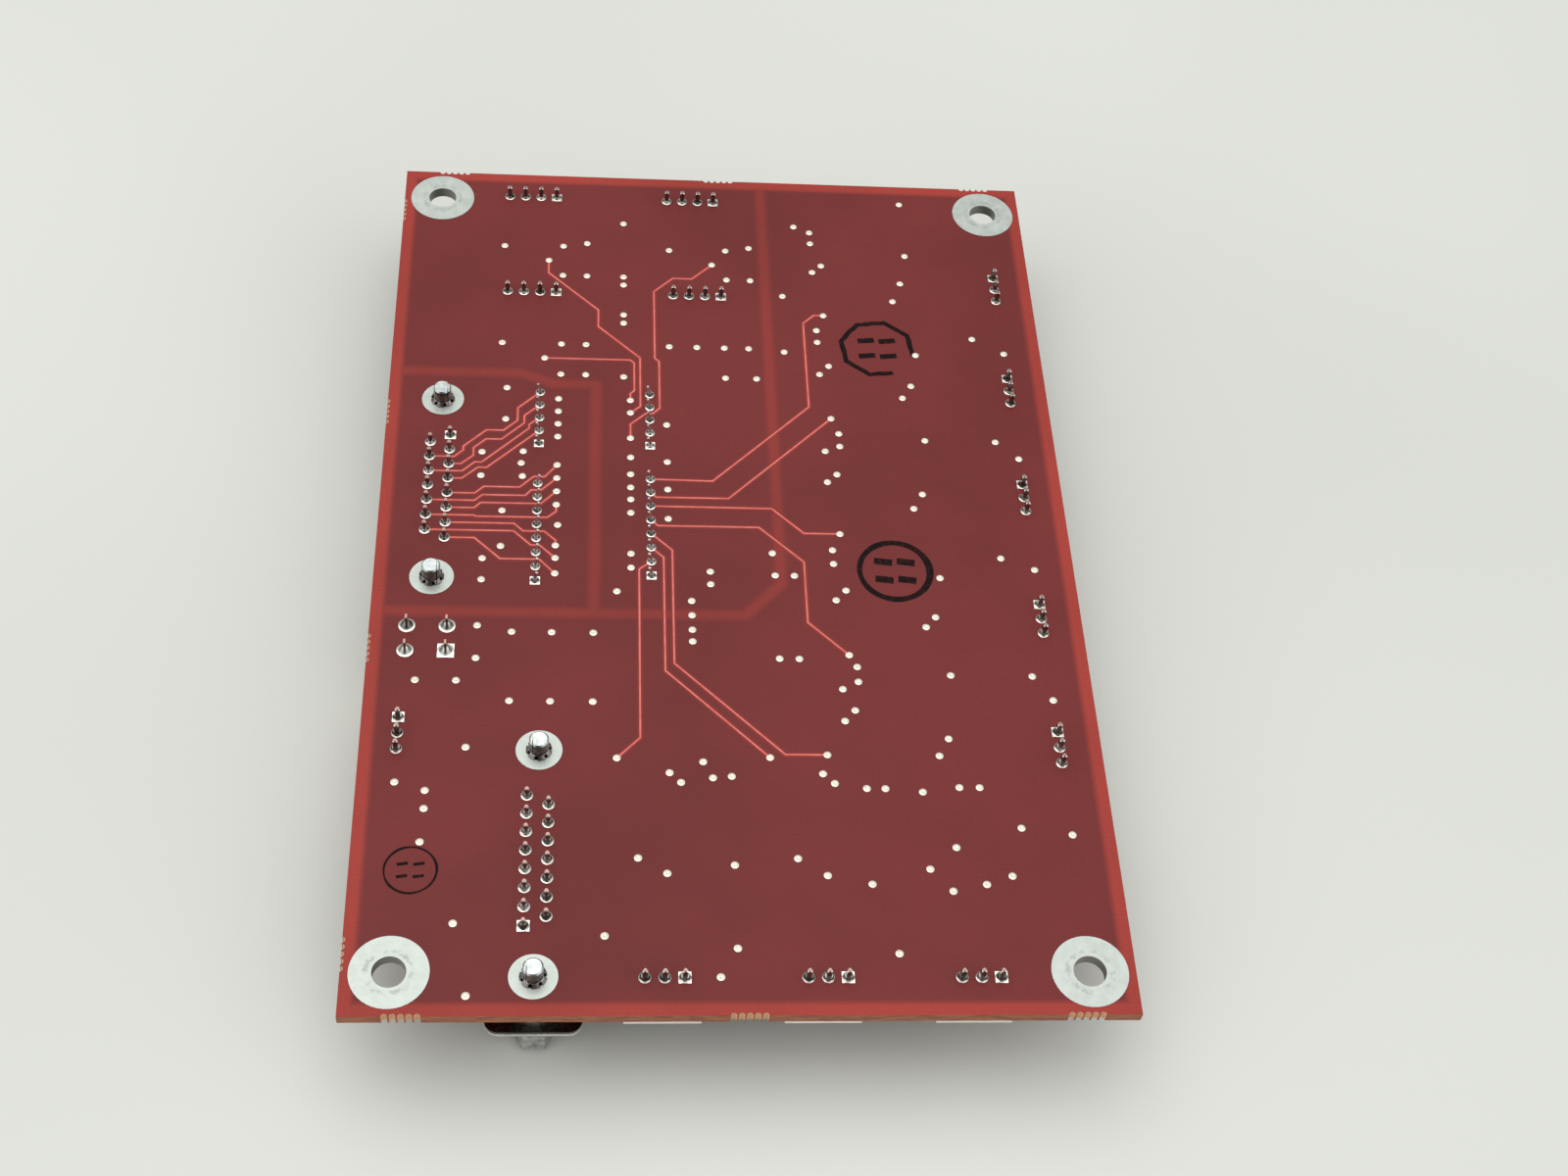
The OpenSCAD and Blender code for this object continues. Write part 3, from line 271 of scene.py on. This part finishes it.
def land_metal():
    """Tinned mounting lands: dull tin with rings worn by screw heads, and painted shade darkening the walls
    in the holes.
    """
    n = Nodes("tinned_land")
    x, y, _ = n.split(n.mm)
    dx = n.math("SUBTRACT", n.math("ABSOLUTE", x), BOARD_W / 2 - MOUNT_INSET)
    dy = n.math("SUBTRACT", n.math("ABSOLUTE", y), BOARD_L / 2 - MOUNT_INSET)
    r = n.math("SQRT", n.math("ADD", n.math("MULTIPLY", dx, dx), n.math("MULTIPLY", dy, dy)))
    wobble = n.spread(n.noise(2.3, 4.0, 0.65), -0.3, 0.3)
    ring = n.math("ABSOLUTE", n.math("SUBTRACT", n.math("ADD", r, wobble), SCREW_RING_R))
    patchy = n.ramp(n.noise(0.9), 0.4, 0.6)
    worn = n.math("MULTIPLY", n.ramp(ring, 0.05, 0.35, 1.0, 0.0), patchy)
    cloud = n.noise(0.7, 4.0, 0.62)
    fine = n.noise(6.0)
    tin = n.tone(cloud, srgb(184, 191, 183), srgb(198, 205, 197))
    colour = n.mix(n.math("MULTIPLY", worn, 0.4), tin, srgb(138, 142, 136))
    # Painted shade: walls, such as those inside the holes, turn a dark brownish grey.
    colour = n.mix(n.wall(0.3, 0.7, 0.75), colour, srgb(96, 88, 82))
    rough = n.math("ADD", n.spread(cloud, 0.38, 0.46), n.math("MULTIPLY", worn, 0.08))
    n.bump(n.math("SUBTRACT", n.math("ADD", cloud, n.math("MULTIPLY", fine, 0.3)), worn), 0.35, 0.03)
    return n.set(Base_Color=colour, Roughness=rough, Metallic=0.55)


def tailed(name, body, tail, node):
    """A contact that is tinned on the solder side, with painted shade on its walls above the board and a
    reddish cut end at the tip.
    """
    n = Nodes(name)
    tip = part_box(node)[1].z * MM
    z = n.height()
    cloud, fine = n.metal_noises(2.0, 12.0)
    colour = n.mix(n.ramp(z, TOP_MM - 1.8, TOP_MM - 1.4), n.tone(cloud, *body), n.tone(cloud, *tail))
    above = n.ramp(z, TOP_MM - 0.1, TOP_MM + 0.2)
    # Painted shade: the walls of the tail above the board darken towards a dark grey.
    colour = n.mix(n.math("MULTIPLY", n.wall(0.3, 0.8, 0.65), above), colour, PAINTED_WALL_SHADE)
    cut = n.math("MULTIPLY", n.ramp(z, tip - 0.12, tip - 0.04), n.ramp(n.upward(), 0.4, 0.8))
    colour = n.mix(n.math("MULTIPLY", cut, 0.8), colour, CUT_END)
    n.metal_bump(cloud, fine, 0.2, 0.02)
    return n.set(Base_Color=colour, Roughness=n.uneven(cloud, fine, 0.18, 0.3), Metallic=1.0)


def rolled_tip():
    """Board locks: bright where the rolled sheet was cut flat, with a painted brown reflection of the red
    board on the walls of the tip and on the barbs.
    """
    n = Nodes("rolled_tip")
    z = n.height()
    cloud, fine = n.metal_noises(1.1, 7.0)
    bright = n.tone(cloud, srgb(164, 171, 168), srgb(200, 206, 203))
    # Painted reflection: a brown tone on the walls, and on the barbs near the board, stands in for the red
    # board mirrored in the metal.
    painted_red_reflection = n.tone(cloud, srgb(70, 52, 48), srgb(112, 86, 78))
    barbs = n.ramp(z, TOP_MM + 0.45, TOP_MM + 0.65, 0.75, 0.0)
    above = n.ramp(z, TOP_MM - 0.2, TOP_MM)
    red_reflection_mask = n.math("MULTIPLY", n.math("MAXIMUM", n.wall(0.3, 0.8), barbs), above)
    n.metal_bump(cloud, fine, 0.25, 0.03)
    return n.set(Base_Color=n.mix(red_reflection_mask, bright, painted_red_reflection),
                 Roughness=n.uneven(cloud, fine, 0.16, 0.28), Metallic=0.95)


def plastic(name, low, high, rough, scale=0.8, grit=8.0, bump=0.25, depth=0.015):
    """A moulding with faint flow clouds and a fine grit."""
    n = Nodes(name)
    cloud = n.noise(scale)
    fine = n.noise(grit, 2.0)
    n.bump(fine, bump, depth)
    return n.set(Base_Color=n.tone(cloud, low, high, NOISE_SPAN),
                 Roughness=n.spread(fine, rough - 0.06, rough + 0.06), Specular_IOR_Level=0.4)


def ink():
    """Stamping ink: near black, thin and patchy, so that the red mask shows through in places."""
    n = Nodes("stamp_ink")
    patch = n.noise(2.6, 5.0, 0.65)
    fine = n.noise(9.0, 2.0)
    thin = n.ramp(n.math("ADD", patch, n.math("MULTIPLY", fine, 0.2)), 0.62, 0.8)
    colour = n.mix(n.math("MULTIPLY", thin, 0.4), srgb(20, 8, 9), MAROON)
    n.bump(fine, 0.2, 0.01)
    return n.set(Base_Color=colour, Roughness=n.spread(fine, 0.55, 0.65), Specular_IOR_Level=0.1)


LAMINATE = lacquer()
INK = ink()
BY_SLOT = {
    "lacquered_laminate": LAMINATE,
    "lacquered_copper": lacquered_copper(),
    "tinned_copper": solder(),
    "tinned_steel": metal("tinned_steel", srgb(208, 206, 196), srgb(222, 219, 209),
                          rough=(0.24, 0.34), scale=0.4, bump=0.12, metallic=0.5),
    "plated_steel": metal("plated_steel", srgb(160, 162, 160), srgb(214, 216, 212),
                          rough=(0.20, 0.34), scale=0.9, bump=0.2),
    "black_moulding": plastic("black_moulding", srgb(20, 20, 22), srgb(34, 34, 37), 0.5),
    "gilt_contact": tailed("gilt_contact", GILT, TIN, "left_socket_contacts"),
    "tinned_brass": tailed("tinned_brass", TIN, TIN, "power_header_pins"),
    "tinned_lead": metal("tinned_lead", srgb(176, 178, 176), srgb(220, 222, 220),
                         rough=(0.25, 0.4), scale=1.5, bump=0.2),
    "white_nylon": plastic("white_nylon", srgb(231, 229, 219), srgb(237, 235, 226), 0.42,
                           scale=0.5, grit=6.0, bump=0.08),
    "network_coating": plastic("network_coating", srgb(22, 22, 24), srgb(36, 36, 38), 0.38),
    "chip_moulding": plastic("chip_moulding", srgb(24, 24, 26), srgb(38, 38, 40), 0.55,
                             scale=1.5, grit=10.0, bump=0.35, depth=0.02),
    "capacitor_moulding": plastic("capacitor_moulding", srgb(206, 150, 44), srgb(222, 170, 62), 0.45),
    "resistor_ceramic": plastic("resistor_ceramic", srgb(212, 210, 203), srgb(228, 226, 220), 0.35),
}
BY_ENDING = {
    "_lands": land_metal(),
    "_vias": metal("filled_via", srgb(226, 219, 202), srgb(242, 236, 220),
                   rough=(0.24, 0.36), scale=1.6, bump=0.35, depth=0.03, metallic=0.35),
    # Painted shade: the rear shells lie under the board, so they get a darker copy of the tinned steel.
    "_rear_shell": metal("shaded_steel", srgb(88, 86, 82), srgb(118, 116, 110),
                         rough=(0.2, 0.32), scale=0.4, bump=0.15),
    "_board_locks": rolled_tip(),
}
SLOT_OF = {s["node"]: s["material_slot"] for s in frame["record"]["subparts"]}


def material_of(name):
    for ending, mat in BY_ENDING.items():
        if name.endswith(ending):
            return mat
    return BY_SLOT[SLOT_OF[name]]


for name, obj in nodes.items():
    obj.data.materials.clear()
    obj.data.materials.append(material_of(name))


def add_object(name, data):
    obj = bpy.data.objects.new(name, data)
    bpy.context.scene.collection.objects.link(obj)
    return obj


def add_piece(name, mesh, mat):
    obj = add_object(name, mesh)
    mesh.materials.append(mat)
    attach(obj, "root")


# Gaps of the copper pour: wide isolation bands, and narrow clearances beside the traces

BAND_HALF, BAND_SOFT, BAND_LEVEL = 0.8, 0.55, 0.45
TRACE_HALF, TRACE_SOFT, TRACE_LEVEL = 0.3, 0.2, 0.55
SKIN_STEP = 0.25
SKIN_T = 0.008
SKIN_LEAST = 0.002
BANDS = [
    [(0, 106.3), (19.5, 106.3), (24.5, 104.3), (30.8, 104.3), (30.8, 61.4)],
    [(0, 61.4), (52, 61.4), (57.3, 67), (57.3, BOARD_L)],
]

# Columns of vias beside the isolators, and each resistor network's x, middle and number of leads
ISO_L, ISO_R = 25.25, 36.0
LEFT_NETWORK = (22.5, 97.4, 5)
RIGHT_NETWORK = (38.9, 77, 8)
LEAD_PITCH = 2.54
SOCKET_X, SOCKET_Y = 8.1, 84
CONTACT_PITCH = 2.74
ROW_HALF = 1.42


def lead(network, i):
    x, middle, count = network
    return (x, middle + (i - (count - 1) / 2) * LEAD_PITCH)


def contact(long, i):
    """A contact of the left socket, in its longer or its shorter row."""
    count = 8 if long else 7
    return (SOCKET_X + (ROW_HALF if long else -ROW_HALF), SOCKET_Y + (i - (count - 1) / 2) * CONTACT_PITCH)


def trace_from(pin, bend_x, *rest):
    return [pin, (bend_x, pin[1]), *rest]


TRACES = [
    trace_from(contact(False, 5), 10.25, (11.5, 90.75), (11.5, 91.5), (14.75, 94.75), (17.25, 94.75),
               (19.25, 96.75), (19.25, 99.25), lead(LEFT_NETWORK, 4)),
    trace_from(contact(True, 5), 11.25, (13, 89.75), (13, 91.25), (14.75, 93), (17, 93), (20.25, 96.25),
               (20.25, 97.75), lead(LEFT_NETWORK, 3)),
    trace_from(contact(False, 4), 11.5, (13.25, 88.5), (14.25, 88.5), (21, 95.25), (21, 96),
               lead(LEFT_NETWORK, 2)),
    trace_from(contact(True, 4), 11.5, (13.75, 87.5), (15, 87.5), lead(LEFT_NETWORK, 1)),
    trace_from(contact(True, 3), 13.5, (14.75, 83.9), (19.9, 83.9), (21.9, 85.96), (23.5, 85.96),
               (ISO_L, 88.25)),
    trace_from(contact(False, 2), 13.5, (14.6, 82.35), (20.75, 82.35), (21.6, 83.4), (23, 83.4),
               (ISO_L, 85.75)),
    trace_from(contact(True, 2), 13.5, (14.4, 80.85), (23, 80.85), (ISO_L, 83.25)),
    trace_from(contact(False, 1), 13.5, (13.75, 78.3), (24, 78.3), (ISO_L, 79.5), (ISO_L, 80.75)),
    trace_from(contact(True, 1), 19.25, (20.6, 75.8), (23.6, 75.8), (ISO_L, 74.2), (ISO_L, 73.25)),
    trace_from(contact(False, 0), 19.25, (21.75, 73.25), (23, 73.25), (ISO_L, 71)),
    trace_from(contact(True, 0), 13.75, (17.5, 70.7), (23, 70.7), (ISO_L, 68.25)),
    [lead(RIGHT_NETWORK, 1), (37.15, 69.25), (37.15, 40.75), (34, 37.5)],
    [lead(RIGHT_NETWORK, 2), (40.65, 71.4), (40.65, 51.75), (54.5, 37.75)],
    [lead(RIGHT_NETWORK, 3), (41.9, 72.75), (41.9, 53), (56.6, 38.25), (62.25, 38.25)],
    [lead(RIGHT_NETWORK, 4), (39.9, 77.2), (54.5, 77.2), (60.75, 71), (60.75, 60.3), (66.25, 54.75)],
    [lead(RIGHT_NETWORK, 5), (56.5, 80.75), (61, 76.25), (66.25, 76.25)],
    [lead(RIGHT_NETWORK, 6), (39.7, 82.5), (50.25, 82.5), (66.25, 98.5)],
    [lead(RIGHT_NETWORK, 7), (48, 85.75), (63, 100.75), (63, 118.25), (64.75, 120), (66.25, 120)],
    [(23, 109.5), (36, 109.5), (36.6, 108.9), (36.6, 103.25), (ISO_R, 102.6), (ISO_R, 101.25)],
    [(23.25, 130.5), (23.25, 127.75), (31.1, 119.9), (31.1, 116.4), (37.5, 110), (37.5, 100.1),
     (ISO_R, 98.75)],
    [(49, 130.5), (45.75, 127.25), (42.75, 127.25), (39.75, 124.25), (39.75, 110), (40.4, 109.35),
     (40.4, 99.8), (39.3, 98.7), (38.3, 98.7), (ISO_R, 96.5), (ISO_R, 93.75)],
]


def path_distance(px, py, path):
    """Distance of every grid point from a path of straight runs."""
    best = np.full(px.shape, 1e9)
    for (x0, y0), (x1, y1) in zip(path, path[1:]):
        dx, dy = x1 - x0, y1 - y0
        t = np.clip(((px - x0) * dx + (py - y0) * dy) / (dx * dx + dy * dy), 0, 1)
        best = np.minimum(best, np.hypot(px - x0 - t * dx, py - y0 - t * dy))
    return best


def soft_step(d, half, soft):
    t = np.clip((half + soft - d) / (2 * soft), 0, 1)
    return t * t * (3 - 2 * t)


def gap_values(px, py):
    """How much of the brighter mask shows at every grid point."""
    value = np.zeros(px.shape)
    for paths, half, soft, level in ((BANDS, BAND_HALF, BAND_SOFT, BAND_LEVEL),
                                     (TRACES, TRACE_HALF, TRACE_SOFT, TRACE_LEVEL)):
        for path in paths:
            value = np.maximum(value, level * soft_step(path_distance(px, py, path), half, soft))
    return value


def gap_skin():
    """The brighter mask over the pour's gaps, as one thin closed skin on the solder side with soft edges."""
    nx, ny = round(BOARD_W / SKIN_STEP), round(BOARD_L / SKIN_STEP)
    px, py = np.meshgrid(np.linspace(0, BOARD_W, nx + 1), np.linspace(0, BOARD_L, ny + 1), indexing="ij")
    value = gap_values(px, py)
    lit = value > SKIN_LEAST
    cell = lit[:-1, :-1] | lit[1:, :-1] | lit[:-1, 1:] | lit[1:, 1:]
    used = np.zeros(px.shape, bool)
    for a in (0, 1):
        for b in (0, 1):
            used[a:nx + a, b:ny + b] |= cell
    count = int(used.sum())
    index = np.full(px.shape, -1)
    index[used] = np.arange(count)
    spots = list(zip(px[used], py[used]))
    verts = [place(x, y, z) for z in (SKIN_T, 0) for x, y in spots]
    faces = []
    for i, j in zip(*np.nonzero(cell)):
        a, b = int(index[i, j]), int(index[i + 1, j])
        c, d = int(index[i + 1, j + 1]), int(index[i, j + 1])
        faces.append((a, b, c, d))
        faces.append((d + count, c + count, b + count, a + count))
        for di, dj, p, q in ((0, -1, a, b), (1, 0, b, c), (0, 1, c, d), (-1, 0, d, a)):
            u, v = i + di, j + dj
            if not (0 <= u < nx and 0 <= v < ny and cell[u, v]):
                faces.append((q, p, p + count, q + count))
    mesh = bpy.data.meshes.new("mask_gaps")
    mesh.from_pydata(verts, [], faces)
    layer = mesh.attributes.new("gap", "FLOAT", "POINT")
    layer.data.foreach_set("value", np.tile(value[used], 2).astype(np.float32))
    add_piece("mask_gaps", mesh, LAMINATE)


gap_skin()


# Inspection stamps: plain frames with plain dashes, as a thin film of ink

INK_T = 0.02
SIDE_RUNS = 6           # runs in each side of the eight-sided frame
SIDE_WOBBLE = 0.06
OPEN_FRAME_RUNS = 41    # of 48, so that the eight-sided frame stays open at one corner
FRAME_TURN = -0.26
DASH_GAP = 0.35         # from the middle of a row to the dash on either side


def film(bm, outer, inner=None, runs=None):
    """A thin closed film of ink inside one loop, or between two, all round or along their first runs."""
    def ring(points, z):
        return [bm.verts.new(place(x, y, z)) for x, y in points]
    top, low = ring(outer, INK_T), ring(outer, 0.0)
    n = len(outer)
    if inner is None:
        bm.faces.new(top)
        bm.faces.new(list(reversed(low)))
        for i in range(n):
            j = (i + 1) % n
            bm.faces.new((top[j], top[i], low[i], low[j]))
        return
    top_in, low_in = ring(inner, INK_T), ring(inner, 0.0)
    for i in range(runs or n):
        j = (i + 1) % n
        bm.faces.new((top[i], top[j], top_in[j], top_in[i]))
        bm.faces.new((low[j], low[i], low_in[i], low_in[j]))
        bm.faces.new((top_in[i], top_in[j], low_in[j], low_in[i]))
        bm.faces.new((top[j], top[i], low[i], low[j]))
    if runs:
        for i in (0, runs):
            bm.faces.new((top[i], top_in[i], low_in[i], low[i]))


def around(cx, cy, r, count, turn=0.0, wobble=0.0):
    """Points round a centre, with a radius that can wobble."""
    out = []
    for i in range(count):
        a = turn + 2 * math.pi * i / count
        rr = r + wobble * (math.sin(3 * a + 1.3) + 0.6 * math.sin(7 * a))
        out.append((cx + rr * math.cos(a), cy + rr * math.sin(a)))
    return out


def eight_sided(cx, cy, r):
    """Eight straight sides, each in several runs so that the line can wobble."""
    corners = around(cx, cy, r, 8, FRAME_TURN)
    out = []
    for (x0, y0), (x1, y1) in zip(corners, corners[1:] + corners[:1]):
        for k in range(SIDE_RUNS):
            t = k / SIDE_RUNS
            w = SIDE_WOBBLE * math.sin(5 * (x0 + x1) + 9 * t)
            out.append((x0 + (x1 - x0) * t + w, y0 + (y1 - y0) * t - w))
    return out


def dash(bm, x0, y0, x1, y1, width):
    d = math.hypot(x1 - x0, y1 - y0)
    nx, ny = -(y1 - y0) / d * width / 2, (x1 - x0) / d * width / 2
    film(bm, [(x0 - nx, y0 - ny), (x1 - nx, y1 - ny), (x1 + nx, y1 + ny), (x0 + nx, y0 + ny)])


def dashes(bm, cx, cy, length, pitch, width, lean):
    """Two rows of two plain dashes."""
    for row in (-1, 1):
        for col in (-1, 1):
            x, y = cx + col * (length / 2 + DASH_GAP), cy + row * pitch / 2
            dash(bm, x - length / 2, y - lean, x + length / 2, y + lean, width)


def stamps():
    bm = bmesh.new()
    cx, cy = 74.3, 113.3
    film(bm, eight_sided(cx, cy, 6.15), eight_sided(cx, cy, 5.3), OPEN_FRAME_RUNS)
    dashes(bm, cx, cy, length=2.6, pitch=3.2, width=1.0, lean=0.15)
    cx, cy = 73.85, 69.7
    film(bm, around(cx, cy, 5.55, 72, wobble=0.04), around(cx - 0.1, cy, 4.65, 72, wobble=-0.03))
    dashes(bm, cx, cy, length=2.6, pitch=3.2, width=1.15, lean=-0.15)
    cx, cy = 7.8, 20.4
    film(bm, around(cx, cy, 3.5, 60, wobble=0.03), around(cx, cy, 3.2, 60, wobble=-0.02))
    dashes(bm, cx, cy, length=1.4, pitch=1.8, width=0.45, lean=0.1)
    bmesh.ops.delete(bm, geom=[v for v in bm.verts if not v.link_faces], context="VERTS")
    bmesh.ops.recalc_face_normals(bm, faces=bm.faces)
    mesh = bpy.data.meshes.new("inspection_stamps")
    bm.to_mesh(mesh)
    bm.free()
    add_piece("inspection_stamps", mesh, INK)


stamps()


# Floor, just below the sockets' mouths

FLOOR_HALF = 6.0
FLOOR_Z = -0.00005


def floor():
    n = Nodes("floor")
    colour = n.tone(n.noise(0.004, 2.0), srgb(212, 213, 206), srgb(220, 221, 214), NOISE_SPAN)
    n.bump(n.noise(0.4), 0.05, 0.2)
    mat = n.set(Base_Color=colour, Roughness=0.85, Specular_IOR_Level=0.2)
    mesh = bpy.data.meshes.new("floor")
    s, z = FLOOR_HALF, FLOOR_Z
    mesh.from_pydata([(-s, -s, z), (s, -s, z), (s, s, z), (-s, s, z)], [], [(0, 1, 2, 3)])
    obj = add_object("floor", mesh)
    mesh.materials.append(mat)


floor()


# Light

KEY_AT = Vector((-0.15, 0.25, 1.1))
KEY_SIZE = 1.1
KEY_WATTS = 4.2
KEY_COLOUR = (1.0, 0.99, 0.97)
SKY_COLOUR = (0.97, 0.985, 1.0, 1)
LEFT_WINDOW = (-0.9, -0.35, 0.26)
RIGHT_WINDOW = (0.9, -0.35, 0.26)
VIEWER = (-0.07, -0.72, 0.69)


def key_light():
    light = bpy.data.lights.new("key", "AREA")
    light.shape = "RECTANGLE"
    light.size = light.size_y = KEY_SIZE
    light.energy = KEY_WATTS
    light.color = KEY_COLOUR
    obj = add_object("key", light)
    obj.location = KEY_AT
    obj.rotation_euler = (-KEY_AT).to_track_quat("-Z", "Y").to_euler()


def studio():
    """A bright ceiling, a pale horizon, a window on each side and a dim patch where the viewer stands."""
    world = bpy.data.worlds.new("studio")
    bpy.context.scene.world = world
    world.use_nodes = True
    tree = world.node_tree
    sky = tree.nodes["Background"]
    direction = tree.nodes.new("ShaderNodeTexCoord").outputs["Generated"]
    split = tree.nodes.new("ShaderNodeSeparateXYZ")
    tree.links.new(direction, split.inputs[0])
    up = split.outputs["Z"]

    def fade(value, low, high, out_low, out_high):
        n = tree.nodes.new("ShaderNodeMapRange")
        n.interpolation_type = "SMOOTHSTEP"
        tree.links.new(value, n.inputs["Value"])
        for key, v in (("From Min", low), ("From Max", high), ("To Min", out_low), ("To Max", out_high)):
            n.inputs[key].default_value = v
        return n.outputs["Result"]

    def join(operation, a, b):
        n = tree.nodes.new("ShaderNodeMath")
        n.operation = operation
        tree.links.new(a, n.inputs[0])
        tree.links.new(b, n.inputs[1])
        return n.outputs[0]

    def toward(aim):
        """How nearly a direction points to the aim."""
        n = tree.nodes.new("ShaderNodeVectorMath")
        n.operation = "DOT_PRODUCT"
        n.inputs[1].default_value = aim
        tree.links.new(direction, n.inputs[0])
        return n.outputs["Value"]

    ceiling = fade(up, 0.46, 0.97, 0.3, 1.25)
    horizon = fade(up, 0.08, 0.22, 0.46, 0.0)
    left = fade(toward(LEFT_WINDOW), 0.7, 0.98, 0.0, 1.1)
    right = fade(toward(RIGHT_WINDOW), 0.7, 0.98, 0.0, 1.1)
    viewer = fade(toward(VIEWER), 0.86, 0.97, 1.0, 0.15)
    light = join("ADD", join("ADD", ceiling, horizon), join("ADD", left, right))
    sky.inputs["Color"].default_value = SKY_COLOUR
    tree.links.new(join("MULTIPLY", light, viewer), sky.inputs["Strength"])


key_light()
studio()


# Camera at the photograph's viewing angle

SENSOR_MM = 36.0
FOCAL_PX = 2239.3
PHOTO_W_PX = 1600
CAM_AT = Vector((-0.0220, -0.1958, TOP + 0.2473))
CAM_LOOK = Vector((0.0952, 0.6006, -0.7938))
CAM_UP = Vector((-0.0155, 0.7982, 0.6021))

cam = bpy.data.cameras.new("camera")
cam.sensor_width = SENSOR_MM
cam.sensor_fit = "HORIZONTAL"
cam.lens = FOCAL_PX / PHOTO_W_PX * SENSOR_MM
cam.clip_start = 0.01
cam_obj = add_object("camera", cam)
look = CAM_LOOK.normalized()
right = look.cross(CAM_UP).normalized()
up = right.cross(look)
turn = Matrix((right, up, -look)).transposed().to_4x4()
cam_obj.matrix_world = Matrix.Translation(CAM_AT) @ turn
bpy.context.scene.camera = cam_obj
bpy.context.scene.view_settings.view_transform = "Standard"
